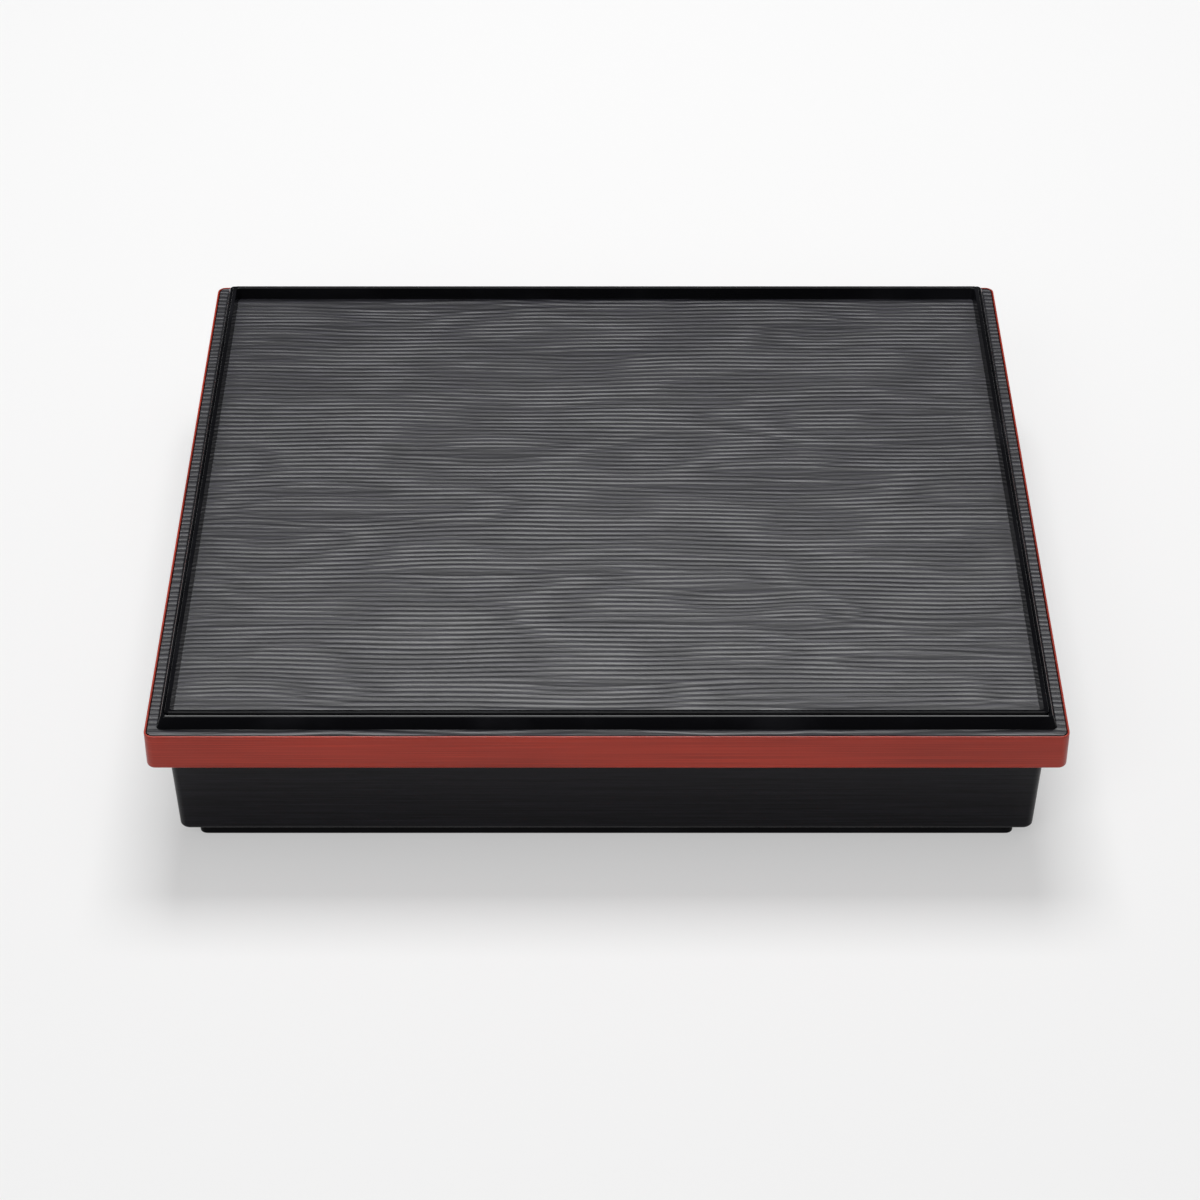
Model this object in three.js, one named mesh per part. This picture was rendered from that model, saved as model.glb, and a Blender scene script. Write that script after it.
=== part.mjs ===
// Lacquered bento box: a foot-ringed box, a lift-out cross partition of two slats, and a lid with a red skirt.
// Millimetres, +Z up, front towards -Y. The origin is at the middle of the foot's underside.
import * as THREE from 'three';
import { mergeVertices } from 'three/addons/utils/BufferGeometryUtils.js';

// Lid, driving sizes
const lidWidth = 303;
const lidDepth = 273;
const lidCornerRadius = 3;
const ledgeTop = 54.1;
const plateThickness = 2.6;
const skirtDrop = 13.7;
const skirtWall = 2.6;
const skirtLip = 0.6;
const skirtEdgeRound = 1.2;

// Raised ring on the lid: widths are counted inwards from the lid's outline, heights up from the ledge
const ledgeWidth = 3.9;
const stepRun = 1.6;
const stepHeight = 4.1;
const stepFlat = 0.7;
const grooveWidth = 0.5;
const grooveDepth = 0.5;
const crestWidth = 1.5;
const crestHeight = 5;
const crestRound = 0.3;
const ringInnerRun = 0.5;
const panelRise = 0.3;

// Box, driving sizes
const boxSetBack = 6.6;
const boxDraft = 1.4;
const boxCornerRadius = 5;
const boxEdgeRound = 2.6;
const wallThickness = 3;
const floorThickness = 3.5;
const innerEdgeRound = 2;
const flangeHeight = 6;
const flangeSlope = 2;
const footHeight = 6.4;
const footSetBack = 5.2;
const footWidth = 3.2;
const footDraft = 0.3;
const footRecess = 3.5;

// Partition, driving sizes
const slatThickness = 3;
const slatDropBelowRim = 4.7;

// Clearances
const seatGap = 0.3;
const skirtClearance = 1;
const slatEndClearance = 0.4;
const lapClearance = 0.3;

const arcSteps = 4;
const cornerSteps = 6;

// Heights that follow from the sizes above
const skirtBottom = ledgeTop - skirtDrop;
const plateBottom = ledgeTop - plateThickness;
const rimTop = plateBottom - seatGap;
const shelfHeight = plateBottom - seatGap;
const floorUnder = footRecess;
const floorTop = floorUnder + floorThickness;
const flangeOuter = skirtWall + skirtClearance;
const boxBottomInset = boxSetBack + boxDraft;
const wallSlope = boxDraft / (skirtBottom - footHeight);

// Inset of the box's outer wall at a height, counted from the lid's outline
function outerInset(z) {
  return boxSetBack + wallSlope * (skirtBottom - z);
}

function innerInset(z) {
  return outerInset(z) + wallThickness;
}

// Points of a rounded rectangle that lies inset from the lid's outline
function outline(inset, radius) {
  const halfX = lidWidth / 2 - inset;
  const halfY = lidDepth / 2 - inset;
  const points = [];
  const corners = [[1, 1], [-1, 1], [-1, -1], [1, -1]];
  corners.forEach(([sideX, sideY], quarter) => {
    const curve = new THREE.EllipseCurve(sideX * (halfX - radius), sideY * (halfY - radius), radius, radius,
      quarter * Math.PI / 2, (quarter + 1) * Math.PI / 2);
    points.push(...curve.getPoints(cornerSteps));
  });
  return points;
}

// Solid whose section is a list of stations [inset, height], carried round the rounded rectangle.
// An open section is closed at both ends by a flat cap, and a closed one makes a ring.
function carriedSection(stations, radius, isRing) {
  const loops = stations.map(([inset, z]) => outline(inset, Math.max(radius - inset, radius / 2))
    .map((point) => [point.x, point.y, z]));
  const count = loops[0].length;
  const vertices = loops.flat();
  const triangles = [];
  const bands = isRing ? loops.length : loops.length - 1;
  for (let band = 0; band < bands; band += 1) {
    const lower = band * count;
    const upper = ((band + 1) % loops.length) * count;
    for (let i = 0; i < count; i += 1) {
      const next = (i + 1) % count;
      triangles.push(lower + i, lower + next, upper + next);
      triangles.push(lower + i, upper + next, upper + i);
    }
  }
  if (!isRing) {
    const lastLoop = (loops.length - 1) * count;
    const firstCentre = vertices.push([0, 0, stations[0][1]]) - 1;
    const lastCentre = vertices.push([0, 0, stations[stations.length - 1][1]]) - 1;
    for (let i = 0; i < count; i += 1) {
      const next = (i + 1) % count;
      triangles.push(firstCentre, next, i);
      triangles.push(lastCentre, lastLoop + i, lastLoop + next);
    }
  }
  const geometry = new THREE.BufferGeometry();
  geometry.setAttribute('position', new THREE.Float32BufferAttribute(vertices.flat(), 3));
  geometry.setIndex(triangles);
  return mergeVertices(geometry, 1e-4);
}

// Quarter turn from one station to another round a corner, as a list of stations
function roundedCorner(centre, radius, startAngle, endAngle) {
  const stations = [];
  for (let i = 0; i <= arcSteps; i += 1) {
    const angle = startAngle + (endAngle - startAngle) * i / arcSteps;
    stations.push([centre[0] + radius * Math.cos(angle), centre[1] + radius * Math.sin(angle)]);
  }
  return stations;
}

const blackLacquer = new THREE.MeshStandardMaterial({ color: 0x0b0b0d, roughness: 0.25, metalness: 0 });
const redLacquer = new THREE.MeshStandardMaterial({ color: 0x8c3a30, roughness: 0.32, metalness: 0 });
const slatLacquer = new THREE.MeshStandardMaterial({ color: 0x101012, roughness: 0.35, metalness: 0 });

function piece(name, geometry, material) {
  geometry.computeVertexNormals();
  const mesh = new THREE.Mesh(geometry, material);
  mesh.name = name;
  return mesh;
}

// Box with its foot ring below and its flange under the lid's plate
function baseBox() {
  const footOuter = boxBottomInset + footSetBack;
  const footInner = footOuter + footWidth;
  const edgeCentre = [outerInset(footHeight + boxEdgeRound) + boxEdgeRound, footHeight + boxEdgeRound];
  const flangeUnder = rimTop - flangeHeight;
  const innerCentre = [innerInset(floorTop + innerEdgeRound) + innerEdgeRound, floorTop + innerEdgeRound];
  const stations = [
    [footInner, floorUnder],
    [footInner, 0],
    [footOuter + footDraft, 0],
    [footOuter, footHeight],
    ...roundedCorner(edgeCentre, boxEdgeRound, -Math.PI / 2, -Math.PI),
    [outerInset(flangeUnder - flangeSlope), flangeUnder - flangeSlope],
    [flangeOuter, flangeUnder],
    [flangeOuter, rimTop],
    [innerInset(rimTop), rimTop],
    ...roundedCorner(innerCentre, innerEdgeRound, Math.PI, Math.PI * 1.5),
  ];
  return piece('base_box', carriedSection(stations, boxCornerRadius, false), blackLacquer);
}

// Black top of the lid: ledge, two-step raised ring and sunk panel
function lidTop() {
  const edge = skirtLip + seatGap;
  const stepTop = ledgeWidth + stepRun;
  const grooveStart = stepTop + stepFlat;
  const crestStart = grooveStart + grooveWidth;
  const crestEnd = crestStart + crestWidth;
  const stations = [
    [edge, plateBottom],
    [edge, ledgeTop],
    [ledgeWidth, ledgeTop],
    [stepTop, ledgeTop + stepHeight],
    [grooveStart, ledgeTop + stepHeight + crestRound],
    [grooveStart + grooveWidth / 2, ledgeTop + stepHeight - grooveDepth],
    [crestStart, ledgeTop + crestHeight - crestRound],
    [crestStart + crestRound, ledgeTop + crestHeight],
    [crestEnd - crestRound, ledgeTop + crestHeight],
    [crestEnd, ledgeTop + crestHeight - crestRound],
    [crestEnd + ringInnerRun, ledgeTop + panelRise],
  ];
  return piece('lid_top', carriedSection(stations, lidCornerRadius, false), blackLacquer);
}

// Red skirt band with the shelf that carries the lid's top
function lidRim() {
  const lowerCentre = [skirtEdgeRound, skirtBottom + skirtEdgeRound];
  const stations = [
    [skirtWall, skirtBottom],
    ...roundedCorner(lowerCentre, skirtEdgeRound, -Math.PI / 2, -Math.PI),
    [0, ledgeTop],
    [skirtLip, ledgeTop],
    [skirtLip, shelfHeight],
    [skirtWall, shelfHeight],
  ];
  return piece('lid_rim', carriedSection(stations, lidCornerRadius, true), redLacquer);
}

// Upright slat with ends that follow the box's walls and a half-lap slot that is open at the top or the bottom
function slat(name, span, isSlotOnTop) {
  const bottom = floorTop + seatGap;
  const top = rimTop - slatDropBelowRim;
  const middle = (bottom + top) / 2;
  const endBottom = span / 2 - innerInset(bottom) - slatEndClearance;
  const endTop = span / 2 - innerInset(top) - slatEndClearance;
  const slotHalf = slatThickness / 2 + lapClearance;
  const slotEdge = isSlotOnTop ? middle - lapClearance / 2 : middle + lapClearance / 2;
  const shape = new THREE.Shape();
  shape.moveTo(-endBottom + innerEdgeRound, bottom);
  if (!isSlotOnTop) {
    shape.lineTo(-slotHalf, bottom);
    shape.lineTo(-slotHalf, slotEdge);
    shape.lineTo(slotHalf, slotEdge);
    shape.lineTo(slotHalf, bottom);
  }
  shape.lineTo(endBottom - innerEdgeRound, bottom);
  shape.lineTo(endBottom, bottom + innerEdgeRound);
  shape.lineTo(endTop, top);
  if (isSlotOnTop) {
    shape.lineTo(slotHalf, top);
    shape.lineTo(slotHalf, slotEdge);
    shape.lineTo(-slotHalf, slotEdge);
    shape.lineTo(-slotHalf, top);
  }
  shape.lineTo(-endTop, top);
  shape.lineTo(-endBottom, bottom + innerEdgeRound);
  const geometry = new THREE.ExtrudeGeometry(shape, { depth: slatThickness, bevelEnabled: false });
  geometry.translate(0, 0, -slatThickness / 2);
  geometry.rotateX(Math.PI / 2);
  return piece(name, geometry, slatLacquer);
}

const box = new THREE.Group();
box.add(baseBox());

const partition = new THREE.Group();
partition.add(slat('long_divider', lidWidth, true));
const crossDivider = slat('cross_divider', lidDepth, false);
crossDivider.rotation.z = Math.PI / 2;
partition.add(crossDivider);

const lid = new THREE.Group();
lid.add(lidTop(), lidRim());

const bentoBox = new THREE.Group();
bentoBox.name = 'bento_box';
bentoBox.add(box, partition, lid);

export default bentoBox;
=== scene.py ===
import math

import bpy
import numpy as np
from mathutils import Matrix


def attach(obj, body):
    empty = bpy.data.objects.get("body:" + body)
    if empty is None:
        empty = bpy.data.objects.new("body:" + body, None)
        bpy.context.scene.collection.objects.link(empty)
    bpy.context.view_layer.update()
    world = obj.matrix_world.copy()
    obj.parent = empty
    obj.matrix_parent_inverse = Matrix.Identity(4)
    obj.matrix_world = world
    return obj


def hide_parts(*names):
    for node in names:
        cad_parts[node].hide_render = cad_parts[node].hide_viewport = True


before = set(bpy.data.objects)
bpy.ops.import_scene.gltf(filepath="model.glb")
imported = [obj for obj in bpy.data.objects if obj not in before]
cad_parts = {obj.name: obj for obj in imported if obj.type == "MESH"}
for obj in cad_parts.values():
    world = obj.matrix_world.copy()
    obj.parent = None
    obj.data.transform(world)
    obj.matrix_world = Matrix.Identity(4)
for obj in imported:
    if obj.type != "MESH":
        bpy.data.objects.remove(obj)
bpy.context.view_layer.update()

mm = 0.001
arcSteps = 8

print("camera")
cameraView = {
    "tilt": 37.75,        # degrees below the horizon
    "distance": 1.2206,
    "aim": (-0.0022, 0.0, 0.0051),
    "focal": 99.5,        # mm on a 36 mm sensor, from the 1200 by 1200 frame
}


def placeCamera(view):
    tilt = math.radians(view["tilt"])
    data = bpy.data.cameras.new("camera")
    data.lens = view["focal"]
    data.sensor_width = 36
    data.clip_start = 0.05
    camera = bpy.data.objects.new("camera", data)
    x, y, z = view["aim"]
    camera.location = (x, y - view["distance"] * math.cos(tilt), z + view["distance"] * math.sin(tilt))
    camera.rotation_euler = (math.pi / 2 - tilt, 0, 0)
    bpy.context.scene.collection.objects.link(camera)
    bpy.context.scene.camera = camera


placeCamera(cameraView)


# Shader maths as Python expressions: a Wire holds one output socket, and an operator adds a Math node
class Wire:
    def __init__(self, tree, socket):
        self.tree = tree
        self.socket = socket

    def node(self, kind, inputs, settings=None):
        made = self.tree.nodes.new(kind)
        for key, value in (settings or {}).items():
            setattr(made, key, value)
        for key, value in inputs.items():
            if isinstance(value, Wire):
                self.tree.links.new(value.socket, made.inputs[key])
            elif value is not None:
                made.inputs[key].default_value = value
        return Wire(self.tree, made.outputs[0])

    def maths(self, operation, first, second=None):
        return self.node("ShaderNodeMath", {0: first, 1: second}, {"operation": operation})

    def __add__(self, other):
        return self.maths("ADD", self, other)

    def __radd__(self, other):
        return self.maths("ADD", other, self)

    def __sub__(self, other):
        return self.maths("SUBTRACT", self, other)

    def __rsub__(self, other):
        return self.maths("SUBTRACT", other, self)

    def __mul__(self, other):
        return self.maths("MULTIPLY", self, other)

    def __rmul__(self, other):
        return self.maths("MULTIPLY", other, self)

    def sine(self):
        return self.maths("SINE", self)

    def stretched(self, scale):
        return self.node("ShaderNodeMapping", {"Vector": self, "Scale": scale})

    def noise(self, scale, detail=2.0, roughness=0.5):
        return self.node("ShaderNodeTexNoise", {"Vector": self, "Scale": scale, "Detail": detail,
                                                "Roughness": roughness})

    def between(self, low, high):
        settings = {"clamp": True, "interpolation_type": "SMOOTHSTEP"}
        return self.node("ShaderNodeMapRange", {"Value": self, "From Min": low, "From Max": high}, settings)

    def blend(self, dark, light):
        mixed = self.tree.nodes.new("ShaderNodeMix")
        mixed.data_type = "RGBA"
        self.tree.links.new(self.socket, mixed.inputs[0])
        mixed.inputs[6].default_value = dark
        mixed.inputs[7].default_value = light
        return Wire(self.tree, mixed.outputs[2])

    def bump(self, strength, distance):
        return self.node("ShaderNodeBump", {"Height": self, "Strength": strength, "Distance": distance})


# A new material, its Principled shader and the Object coordinates as a Wire
def newMaterial(name):
    material = bpy.data.materials.new(name)
    material.use_nodes = True
    tree = material.node_tree
    coordinate = tree.nodes.new("ShaderNodeTexCoord")
    return material, tree, tree.nodes["Principled BSDF"], Wire(tree, coordinate.outputs["Object"])


def join(tree, wire, shader, name):
    tree.links.new(wire.socket, shader.inputs[name])


print("materials")
grainFinish = {
    "pitch": 0.0026,               # metres between the embossed lines
    "waver": 0.0132,               # metres that a line may wander
    "waverScale": (9, 26, 26),
    "dashScale": (60, 700, 700),   # long along X, so that the lines break into dashes
    "dashRange": (0.38, 0.62),
    "dashFloor": 0.4,              # height that a line keeps between its dashes
    "speckScale": 2600,
    "speck": 0.08,
    "patchScale": (14, 60, 60),
    "patch": 0.08,
    "depth": 0.00016,
    "dark": (0.006, 0.006, 0.009, 1),
    # lighter base colour of the line dashes: a painted glint
    "painted_glint": (0.024, 0.023, 0.032, 1),
    "groove": 0.34,
    "ridge": 0.46,
}


# Black lacquer with embossed wood grain. Line height is the sine of (y + z + a slow noise wander) over the
# pitch, cut by a stretched noise so that the lines break into dashes, and scaled by amount. The dashes also
# get a lighter base colour, a painted glint along the ridges.
def grainLacquer(name, amount):
    material, tree, shader, place = newMaterial(name)
    finish = grainFinish
    axes = tree.nodes.new("ShaderNodeSeparateXYZ")
    tree.links.new(place.socket, axes.inputs[0])
    y = Wire(tree, axes.outputs["Y"])
    z = Wire(tree, axes.outputs["Z"])
    across = y + z + place.stretched(finish["waverScale"]).noise(1.0, 3.0) * finish["waver"]
    line = (across * (2 * math.pi / finish["pitch"])).sine() * 0.5 + 0.5
    dashes = place.stretched(finish["dashScale"]).noise(1.0, 2.0).between(*finish["dashRange"])
    height = line * (dashes * (1 - finish["dashFloor"]) + finish["dashFloor"])
    relief = height * amount + place.noise(finish["speckScale"], 2.0) * finish["speck"]
    join(tree, relief.bump(1.0, finish["depth"]), shader, "Normal")
    # painted glint: the line dashes get a lighter base colour that stands in for light catching the ridges
    join(tree, (line * dashes).blend(finish["dark"], finish["painted_glint"]), shader, "Base Color")
    patches = place.stretched(finish["patchScale"]).noise(1.0, 3.0)
    rough = line * (finish["ridge"] - finish["groove"]) + finish["groove"] + patches * finish["patch"]
    join(tree, rough, shader, "Roughness")
    return material


ringFinish = {
    "colour": (0.003, 0.003, 0.004, 1),
    "haze": (0.009, 0.009, 0.011, 1),
    "hazeScale": 30,
    "hazeRange": (0.45, 0.75),
    "rough": 0.07,
    "hazeRough": 0.1,
    "peelScale": 320,
    "peel": 0.0002,
    "specular": 0.12,
}


# Smooth gloss-black lacquer: a faint orange-peel bump and light handling haze
def ringLacquer():
    material, tree, shader, place = newMaterial("gloss_black_lacquer")
    haze = place.noise(ringFinish["hazeScale"], 4.0).between(*ringFinish["hazeRange"])
    join(tree, haze.blend(ringFinish["colour"], ringFinish["haze"]), shader, "Base Color")
    join(tree, haze * ringFinish["hazeRough"] + ringFinish["rough"], shader, "Roughness")
    join(tree, place.noise(ringFinish["peelScale"], 2.0).bump(0.12, ringFinish["peel"]), shader, "Normal")
    shader.inputs["Specular IOR Level"].default_value = ringFinish["specular"]
    return material


redFinish = {
    "deep": (0.23, 0.016, 0.006, 1),
    "light": (0.45, 0.036, 0.016, 1),
    "lineScale": (14, 14, 2600),   # long along the band, fine up it
    "cloudScale": (8, 8, 30),
    "lineShare": 0.65,
    "toneRange": (0.3, 0.7),
    "rough": 0.24,
    "lineRough": 0.16,
    "depth": 0.00008,
    "specular": 0.3,
}


# Red lacquer with fine lines along the band: noise stretched along X and Y sets tone, gloss and relief
def redLacquer():
    material, tree, shader, place = newMaterial("red_lacquer")
    finish = redFinish
    lines = place.stretched(finish["lineScale"]).noise(1.0, 4.0, 0.6)
    cloud = place.stretched(finish["cloudScale"]).noise(1.0, 3.0)
    tone = (lines * finish["lineShare"] + cloud * (1 - finish["lineShare"])).between(*finish["toneRange"])
    join(tree, tone.blend(finish["deep"], finish["light"]), shader, "Base Color")
    join(tree, lines * finish["lineRough"] + finish["rough"], shader, "Roughness")
    join(tree, lines.bump(0.5, finish["depth"]), shader, "Normal")
    shader.inputs["Specular IOR Level"].default_value = finish["specular"]
    return material


bodyFinish = {
    "dark": (0.002, 0.002, 0.003, 1),
    "light": (0.009, 0.008, 0.012, 1),
    "wallScale": (18, 18, 1900),   # level lines on the box's walls
    "slatScale": (900, 900, 40),   # upright lines on the slats
    "breakScale": (70, 70, 900),
    "lineShare": 0.7,
    "toneRange": (0.35, 0.7),
    "rough": 0.26,
    "lineRough": 0.18,
    "depth": 0.0001,
    "specular": 0.2,
}


# Black lacquer of the box and the slats: fine lines from noise that is stretched along them
def bodyLacquer(name, lineScale):
    material, tree, shader, place = newMaterial(name)
    finish = bodyFinish
    lines = place.stretched(lineScale).noise(1.0, 4.0, 0.6)
    breaks = place.stretched(finish["breakScale"]).noise(1.0, 2.0)
    tone = (lines * finish["lineShare"] + breaks * (1 - finish["lineShare"])).between(*finish["toneRange"])
    join(tree, tone.blend(finish["dark"], finish["light"]), shader, "Base Color")
    join(tree, lines * finish["lineRough"] + finish["rough"], shader, "Roughness")
    join(tree, (lines + breaks * 0.5).bump(0.55, finish["depth"]), shader, "Normal")
    shader.inputs["Specular IOR Level"].default_value = finish["specular"]
    return material


grainPanel = grainLacquer("wood_grain_panel_lacquer", 0.45)
grainLedge = grainLacquer("wood_grain_ledge_lacquer", 1.0)
glossBlack = ringLacquer()
bandRed = redLacquer()
boxBlack = bodyLacquer("lined_black_lacquer", bodyFinish["wallScale"])
slatBlack = bodyLacquer("satin_black_lacquer", bodyFinish["slatScale"])

lidSize = {"width": 303.0, "depth": 273.0, "cornerRadius": 3.0, "ledgeTop": 54.1}


# Points of a rounded rectangle inset from the lid's outline: four quarter circles, anticlockwise, in mm
def outline(inset, radius, cornerSteps=8):
    turn = np.linspace(0, np.pi / 2, cornerSteps + 1)
    start = np.arange(4)[:, None] * np.pi / 2
    angle = start + turn[None, :]
    side = np.array([[1, 1], [-1, 1], [-1, -1], [1, -1]], float)
    half = np.array([lidSize["width"] / 2 - inset - radius, lidSize["depth"] / 2 - inset - radius])
    centre = (side * half)[:, None, :]
    circle = np.stack([np.cos(angle), np.sin(angle)], axis=-1) * radius
    return (centre + circle).reshape(-1, 2)


# Quarter circle as stations: centre plus radius times the cosine and sine of an angle that runs start to end
def rounded(centre, radius, startAngle, endAngle, steps=arcSteps):
    angle = np.radians(np.linspace(startAngle, endAngle, steps + 1))
    return [(x, z, 0) for x, z in zip(centre[0] + radius * np.cos(angle), centre[1] + radius * np.sin(angle))]


# Puts whole arrays of points and faces into a mesh object that rides on a body and stands for a node
def newPiece(name, points, faces, materials, faceSlots, body, node=None, sharpAngle=32):
    mesh = bpy.data.meshes.new(name)
    mesh.from_pydata((np.asarray(points) * mm).tolist(), [], faces)
    for material in materials:
        mesh.materials.append(material)
    mesh.polygons.foreach_set("material_index", np.asarray(faceSlots, dtype=np.int32))
    mesh.polygons.foreach_set("use_smooth", np.ones(len(mesh.polygons), dtype=bool))
    mesh.update()
    mesh.set_sharp_from_angle(angle=math.radians(sharpAngle))
    piece = bpy.data.objects.new(name, mesh)
    bpy.context.scene.collection.objects.link(piece)
    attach(piece, body)
    if node:
        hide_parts(node)
    return piece


# A section of stations (inset, height, material number of the band after it) carried round the rectangle.
# Bands join neighbouring loops; a ring also joins the last loop to the first, an open section gets two caps.
def carriedSection(name, stations, radius, isRing, materials, body, node):
    insets = np.array([station[0] for station in stations])
    heights = np.array([station[1] for station in stations])
    numbers = [station[2] for station in stations]
    loops = [outline(inset, max(radius - inset, radius / 2)) for inset in insets]
    count = len(loops[0])
    points = np.concatenate([np.column_stack([loop, np.full(count, z)]) for loop, z in zip(loops, heights)])
    bands = len(stations) if isRing else len(stations) - 1
    first = np.arange(count)
    second = (first + 1) % count
    faces, slots = [], []
    for band in range(bands):
        low = band * count
        high = ((band + 1) % len(stations)) * count
        quads = np.column_stack([low + first, low + second, high + second, high + first])
        faces += quads.tolist()
        slots += [numbers[band]] * count
    if not isRing:
        last = (len(stations) - 1) * count
        faces.append(list(range(count))[::-1])
        faces.append(list(range(last, last + count)))
        slots += [numbers[0], numbers[-1]]
    return newPiece(name, points, faces, materials, slots, body, node)


print("lid")
ringSize = {
    "ledgeWidth": 3.9, "stepRun": 1.6, "stepHeight": 4.1, "stepFlat": 0.7, "groove": 0.5, "grooveDepth": 0.5,
    "crestWidth": 1.5, "crestHeight": 5.0, "crestRound": 0.3, "innerRun": 0.5, "panelRise": 0.3,
    "ledgeEase": 0.15, "toe": (0.1, 0.2), "shoulder": (0.25, 0.45), "shoulderRound": 0.4,
    "shoulderCentre": (0.3, 0.35), "stepCrown": 0.1,
    "grooveBottom": (0.4, 0.7),     # where the groove's flat bottom lies, as shares of its width
    "innerFoot": (0.85, 0.5),       # share of the inner wall's run, and height, where the wall eases out
}
skirtSize = {
    "drop": 13.7, "wall": 2.6, "lip": 0.6, "lipRound": 0.2, "edgeRound": 1.2,
    "gap": 0.3, "plate": 2.6,
}


# Black top of the lid: plate edge, grain ledge, rounded outer step, groove, rounded crest and inner wall
def makeLidTop():
    ring, skirt, top = ringSize, skirtSize, lidSize["ledgeTop"]
    edge = skirt["lip"] + skirt["gap"]
    under = top - skirt["plate"]
    step = ring["ledgeWidth"] + ring["stepRun"]
    groove = step + ring["stepFlat"]
    crest = groove + ring["groove"]
    end = crest + ring["crestWidth"]
    stepTop = top + ring["stepHeight"]
    crestTop = top + ring["crestHeight"]
    bend = ring["crestRound"]
    ease = ring["ledgeEase"]
    toeRun, toeRise = ring["toe"]
    shoulderRun, shoulderDrop = ring["shoulder"]
    centreRun, centreDrop = ring["shoulderCentre"]
    grooveNear, grooveFar = ring["grooveBottom"]
    footShare, footRise = ring["innerFoot"]
    grooveFloor = stepTop - ring["grooveDepth"]
    panel = top + ring["panelRise"]
    stations = [
        (edge, under, 0), (edge, top - ease, 0), (edge + ease, top, 1), (ring["ledgeWidth"], top, 0),
        (ring["ledgeWidth"] + toeRun, top + toeRise, 0), (step - shoulderRun, stepTop - shoulderDrop, 0),
        *rounded((step + centreRun, stepTop - centreDrop), ring["shoulderRound"], 160, 90, 6),
        (groove, stepTop + ring["stepCrown"], 0),
        (groove + ring["groove"] * grooveNear, grooveFloor, 0),
        (groove + ring["groove"] * grooveFar, grooveFloor, 0),
        *rounded((crest + bend, crestTop - bend), bend, 180, 90, 6),
        *rounded((end - bend, crestTop - bend), bend, 90, 0, 6),
        (end + ring["innerRun"] * footShare, panel + footRise, 0),
        (end + ring["innerRun"], panel, 2),
    ]
    return carriedSection("lid_top_shell", stations, lidSize["cornerRadius"], False,
                          [glossBlack, grainLedge, grainPanel], "lid", "lid_top")


panelGrain = {
    "margin": 9.0, "columns": 96, "rows": 520, "pitch": 2.6, "relief": 0.18, "lift": 0.02, "depth": 0.3,
    "waves": ((1.1, 37, 29, 0), (0.5, 13, -17, 1.3)),   # height, length along X and Y, and start of each
    "islands": 30, "seed": 11, "islandLength": (16, 42), "islandWidth": (1.6, 3.4), "push": 0.8, "reach": 5,
    "smoothGain": 1.5, "smoothEdge": 0.35, "fadeSides": 2.0, "fadeEnds": 1.5,
}


# Panel relief: the height is the square of half a sine of the warped row over the pitch. Each island pushes
# the lines apart by its width times a bell along X and a hyperbolic tangent along Y, and stays smooth inside.
def makeGrainPanel():
    grain = panelGrain
    random = np.random.default_rng(grain["seed"])
    halfX = lidSize["width"] / 2 - grain["margin"]
    halfY = lidSize["depth"] / 2 - grain["margin"]
    alongX = np.linspace(-halfX, halfX, grain["columns"])
    alongY = np.linspace(-halfY, halfY, grain["rows"])
    x, y = np.meshgrid(alongX, alongY)
    warped = y.copy()
    for height, lengthX, lengthY, start in grain["waves"]:
        warped += height * np.sin(x / lengthX + y / lengthY + start)
    smooth = np.ones_like(x)
    for _ in range(grain["islands"]):
        centreX = random.uniform(-halfX, halfX)
        centreY = random.uniform(-halfY, halfY)
        length = random.uniform(*grain["islandLength"])
        width = random.uniform(*grain["islandWidth"])
        bell = np.exp(-((x - centreX) / length) ** 2)
        offset = (y - centreY) / width
        near = np.exp(-(offset / grain["reach"]) ** 2)
        warped -= grain["push"] * width * bell * np.tanh(offset) * near
        smooth *= 1 - np.clip(grain["smoothGain"] * bell * np.exp(-offset ** 4) - grain["smoothEdge"], 0, 1)
    fade = np.clip((halfX - np.abs(x)) / grain["fadeSides"], 0, 1)
    fade *= np.clip((halfY - np.abs(y)) / grain["fadeEnds"], 0, 1)
    line = 0.5 + 0.5 * np.sin(2 * np.pi * warped / grain["pitch"])
    base = lidSize["ledgeTop"] + ringSize["panelRise"] + grain["lift"]
    z = base + grain["relief"] * line ** 2 * smooth * fade
    rows, columns = x.shape
    number = np.arange(rows * columns).reshape(rows, columns)
    corners = [number[:-1, :-1], number[:-1, 1:], number[1:, 1:], number[1:, :-1]]
    quads = np.stack(corners, axis=-1).reshape(-1, 4)
    points = np.column_stack([x.ravel(), y.ravel(), z.ravel()])
    border = np.concatenate([number[0, :-1], number[:-1, -1], number[-1, :0:-1], number[:0:-1, 0]])
    sunk = points[border] - np.array([0, 0, grain["depth"]])
    low = len(points) + np.arange(len(border))
    walls = np.column_stack([low, np.roll(low, -1), np.roll(border, -1), border])
    faces = quads.tolist() + walls.tolist() + [low[::-1].tolist()]
    points = np.concatenate([points, sunk])
    return newPiece("wood_grain_panel", points, faces, [grainPanel], [0] * len(faces), "lid",
                    sharpAngle=60)


# Red band: rounded lower edge, upright face, lip round the black top, and the shelf inside
def makeLidRim():
    skirt, top = skirtSize, lidSize["ledgeTop"]
    bottom = top - skirt["drop"]
    bend = skirt["edgeRound"]
    lip = skirt["lipRound"]
    shelf = top - skirt["plate"] - skirt["gap"]
    stations = [
        (skirt["wall"], bottom, 0),
        *rounded((bend, bottom + bend), bend, 270, 180),
        *rounded((lip, top - lip), lip, 180, 90, 4),
        (skirt["lip"], top, 0), (skirt["lip"], shelf, 0), (skirt["wall"], shelf, 0),
    ]
    return carriedSection("lid_skirt_band", stations, lidSize["cornerRadius"], True, [bandRed],
                          "lid", "lid_rim")


makeLidTop()
makeGrainPanel()
makeLidRim()

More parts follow.
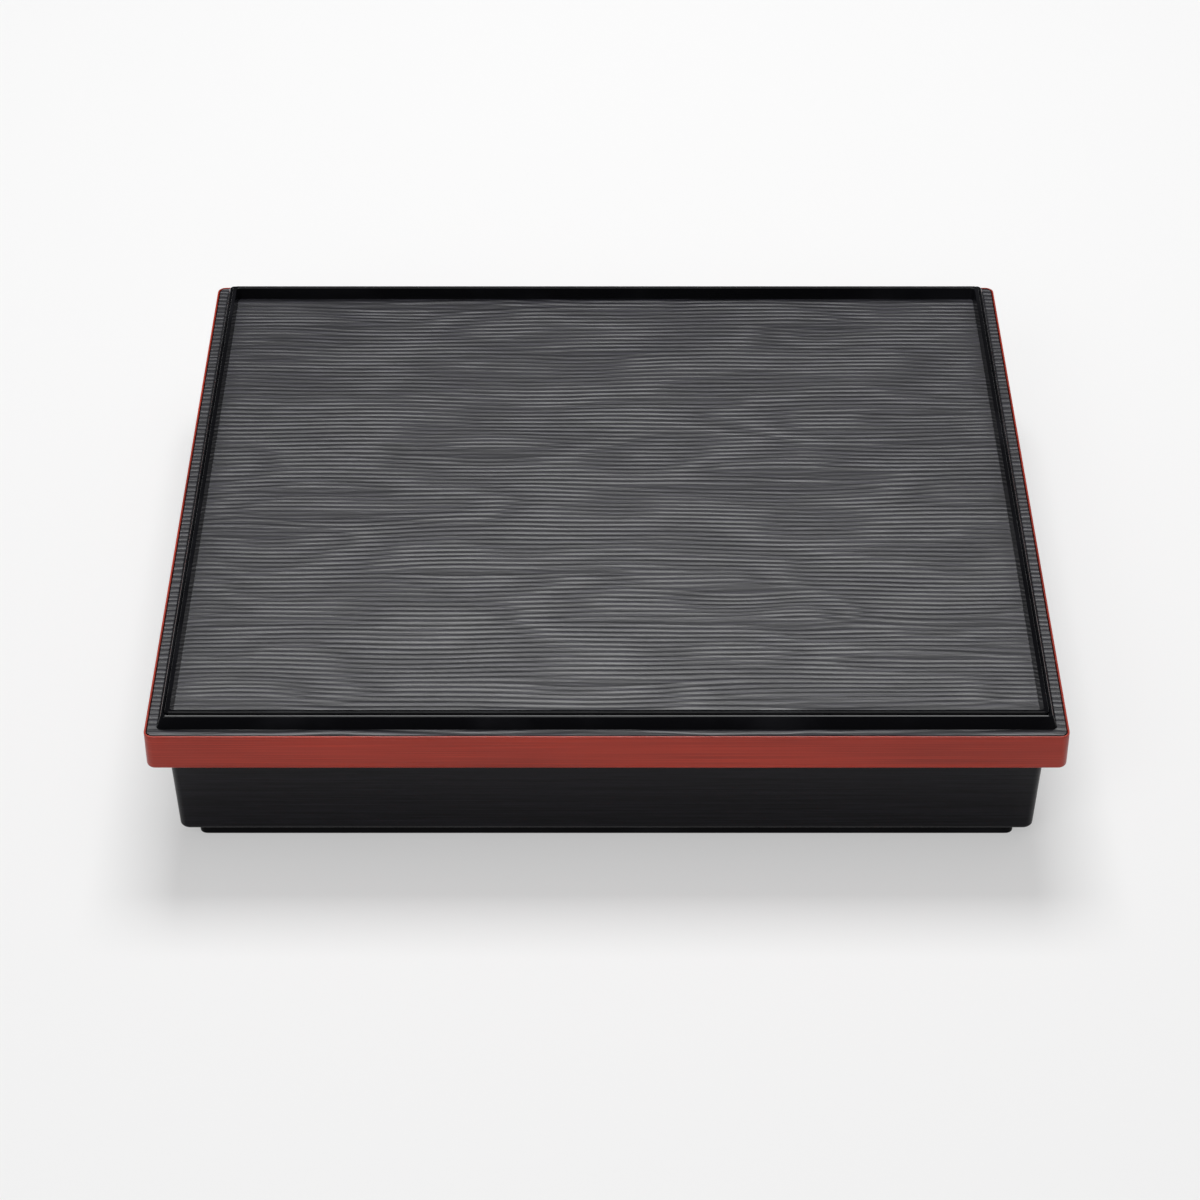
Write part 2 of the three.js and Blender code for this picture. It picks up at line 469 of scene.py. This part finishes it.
print("box")
boxSize = {
    "setBack": 6.6, "draft": 1.4, "cornerRadius": 5.0, "edgeRound": 2.6,
    "wall": 3.0, "floor": 3.5, "innerRound": 2.0,
    "flange": 6.0, "flangeSlope": 2.0, "flangeOuter": 3.6, "rimRound": 0.5,
    "footHeight": 6.4, "footSetBack": 5.2, "footWidth": 3.2, "footDraft": 0.3, "footEdge": 0.3,
    "footRecess": 3.5,
    "rimTop": lidSize["ledgeTop"] - skirtSize["plate"] - skirtSize["gap"],
    "skirtBottom": lidSize["ledgeTop"] - skirtSize["drop"],
}


# Inset of the box's outer wall at a height: the set-back under the skirt plus the draft below it
def wallInset(z):
    size = boxSize
    below = (size["skirtBottom"] - z) / (size["skirtBottom"] - size["footHeight"])
    return size["setBack"] + size["draft"] * below


# Box: gloss foot ring, rounded lower edge, drafted wall, rim flange, inner wall and rounded inner floor edge
def makeBaseBox():
    size = boxSize
    footOuter = size["setBack"] + size["draft"] + size["footSetBack"]
    footInner = footOuter + size["footWidth"]
    bend = size["edgeRound"]
    edge = (wallInset(size["footHeight"] + bend) + bend, size["footHeight"] + bend)
    under = size["rimTop"] - size["flange"]
    floorTop = size["footRecess"] + size["floor"]
    inner = size["innerRound"]
    innerEdge = (wallInset(floorTop + inner) + size["wall"] + inner, floorTop + inner)
    rimInner = wallInset(size["rimTop"]) + size["wall"]
    rim = size["rimRound"]
    foot = size["footEdge"]
    stations = [
        (footInner, size["footRecess"], 1), (footInner, foot, 1), (footInner - foot, 0, 1),
        (footOuter + size["footDraft"] + foot, 0, 1), (footOuter + size["footDraft"], foot, 1),
        (footOuter, size["footHeight"], 0),
        *rounded(edge, bend, 270, 180),
        (wallInset(under - size["flangeSlope"]), under - size["flangeSlope"], 0),
        (size["flangeOuter"], under, 0),
        *rounded((size["flangeOuter"] + rim, size["rimTop"] - rim), rim, 180, 90),
        *rounded((rimInner - rim, size["rimTop"] - rim), rim, 90, 0),
        *rounded(innerEdge, inner, 180, 270),
    ]
    return carriedSection("box_shell", stations, size["cornerRadius"], False, [boxBlack, glossBlack],
                          "box", "base_box")


makeBaseBox()

print("partition")
slatSize = {
    "thickness": 3.0, "floorGap": 0.3, "dropBelowRim": 4.7, "endGap": 0.4, "lap": 0.3,
    "edgeRound": 0.7,
}


# Slat: an outline in its own plane pushed to both sides by half the thickness, with its edges bevelled round
def makeSlat(name, node, span, slotOnTop):
    size = slatSize
    bottom = boxSize["footRecess"] + boxSize["floor"] + size["floorGap"]
    top = boxSize["rimTop"] - size["dropBelowRim"]
    middle = (bottom + top) / 2
    inner = boxSize["innerRound"]
    wall = boxSize["wall"]
    endLow = span / 2 - wallInset(bottom) - wall - size["endGap"]
    endHigh = span / 2 - wallInset(top) - wall - size["endGap"]
    half = size["thickness"] / 2 + size["lap"]
    lap = size["lap"] / 2
    lower = [(-endLow + inner, bottom)]
    upper = [(endHigh, top)]
    if slotOnTop:
        upper += [(half, top), (half, middle - lap), (-half, middle - lap), (-half, top)]
    else:
        lower += [(-half, bottom), (-half, middle + lap), (half, middle + lap), (half, bottom)]
    lower += [(endLow - inner, bottom), (endLow, bottom + inner)]
    upper += [(-endHigh, top), (-endLow, bottom + inner)]
    flat = np.array(lower + upper)
    count = len(flat)
    along, height = flat[:, 0], flat[:, 1]
    side = np.full(count, size["thickness"] / 2)
    if span == lidSize["width"]:
        sheets = [np.column_stack([along, -side, height]), np.column_stack([along, side, height])]
    else:
        sheets = [np.column_stack([side, along, height]), np.column_stack([-side, along, height])]
    first = np.arange(count)
    second = (first + 1) % count
    walls = np.column_stack([first, first + count, second + count, second])
    faces = [list(range(count)), list(range(count, 2 * count))[::-1]] + walls.tolist()
    piece = newPiece(name, np.concatenate(sheets), faces, [slatBlack], [0] * len(faces), "partition",
                     node, 40)
    bevel = piece.modifiers.new("rounded edges", "BEVEL")
    bevel.width = size["edgeRound"] * mm
    bevel.segments = 3
    bevel.limit_method = "ANGLE"
    return piece


makeSlat("long_slat", "long_divider", lidSize["width"], True)
makeSlat("cross_slat", "cross_divider", lidSize["depth"], False)

print("studio")
studio = {
    "floorColour": (0.93, 0.93, 0.93, 1),
    "glow": (0.82, 0.82, 0.82, 1),   # what the camera sees mixed over the floor
    "share": 0.5,                    # how much of that is mixed in
    "floorHalf": 6.0,
    "seen": 0.925,                   # the world as the camera sees it
    "world": 0.12,                   # and as it lights the box
}


# Pale floor: plain diffuse for light and shadow, with the camera's share part emission so that it shows pale
def makeFloor():
    half = studio["floorHalf"]
    mesh = bpy.data.meshes.new("floor")
    corners = [(-half, -half, 0), (half, -half, 0), (half, half, 0), (-half, half, 0)]
    mesh.from_pydata(corners, [], [(0, 1, 2, 3)])
    material, tree, shader, place = newMaterial("pale_floor")
    shader.inputs["Base Color"].default_value = studio["floorColour"]
    shader.inputs["Roughness"].default_value = 0.9
    shader.inputs["Specular IOR Level"].default_value = 0.1
    path = tree.nodes.new("ShaderNodeLightPath")
    glow = place.node("ShaderNodeEmission", {"Color": studio["glow"], "Strength": 1.0})
    mixed = tree.nodes.new("ShaderNodeMixShader")
    seen = Wire(tree, path.outputs["Is Camera Ray"]) * studio["share"]
    tree.links.new(seen.socket, mixed.inputs[0])
    tree.links.new(shader.outputs[0], mixed.inputs[1])
    tree.links.new(glow.socket, mixed.inputs[2])
    tree.links.new(mixed.outputs[0], tree.nodes["Material Output"].inputs["Surface"])
    mesh.materials.append(material)
    floor = bpy.data.objects.new("floor", mesh)
    bpy.context.scene.collection.objects.link(floor)


makeFloor()


# The world: pale where the camera sees it, dimmer for the light and the reflections
def makeWorld():
    world = bpy.data.worlds.new("studio")
    world.use_nodes = True
    bpy.context.scene.world = world
    tree = world.node_tree
    path = tree.nodes.new("ShaderNodeLightPath")
    background = tree.nodes["Background"]
    seen = Wire(tree, path.outputs["Is Camera Ray"])
    strength = seen * (studio["seen"] - studio["world"]) + studio["world"]
    tree.links.new(strength.socket, background.inputs["Strength"])
    background.inputs["Color"].default_value = (1, 1, 1, 1)


makeWorld()

lamps = {
    "back_softbox": {"at": (0.0, 0.68, 1.5), "size": (0.9, 0.7), "power": 22},
    "front_softbox": {"at": (-0.5, -1.5, 1.3), "size": (1.4, 1.0), "power": 11},
    "top_softbox": {"at": (0.2, -0.1, 1.9), "size": (1.6, 1.6), "power": 7},
}


def makeLamp(name, lamp):
    data = bpy.data.lights.new(name, "AREA")
    data.shape = "RECTANGLE"
    data.size, data.size_y = lamp["size"]
    data.energy = lamp["power"]
    light = bpy.data.objects.new(name, data)
    light.location = lamp["at"]
    x, y, z = lamp["at"]
    light.rotation_euler = (math.atan2(math.hypot(x, y), z), 0, math.atan2(x, -y))
    bpy.context.scene.collection.objects.link(light)


for lampName, lampValues in lamps.items():
    makeLamp(lampName, lampValues)

bpy.context.scene.view_settings.view_transform = "Standard"
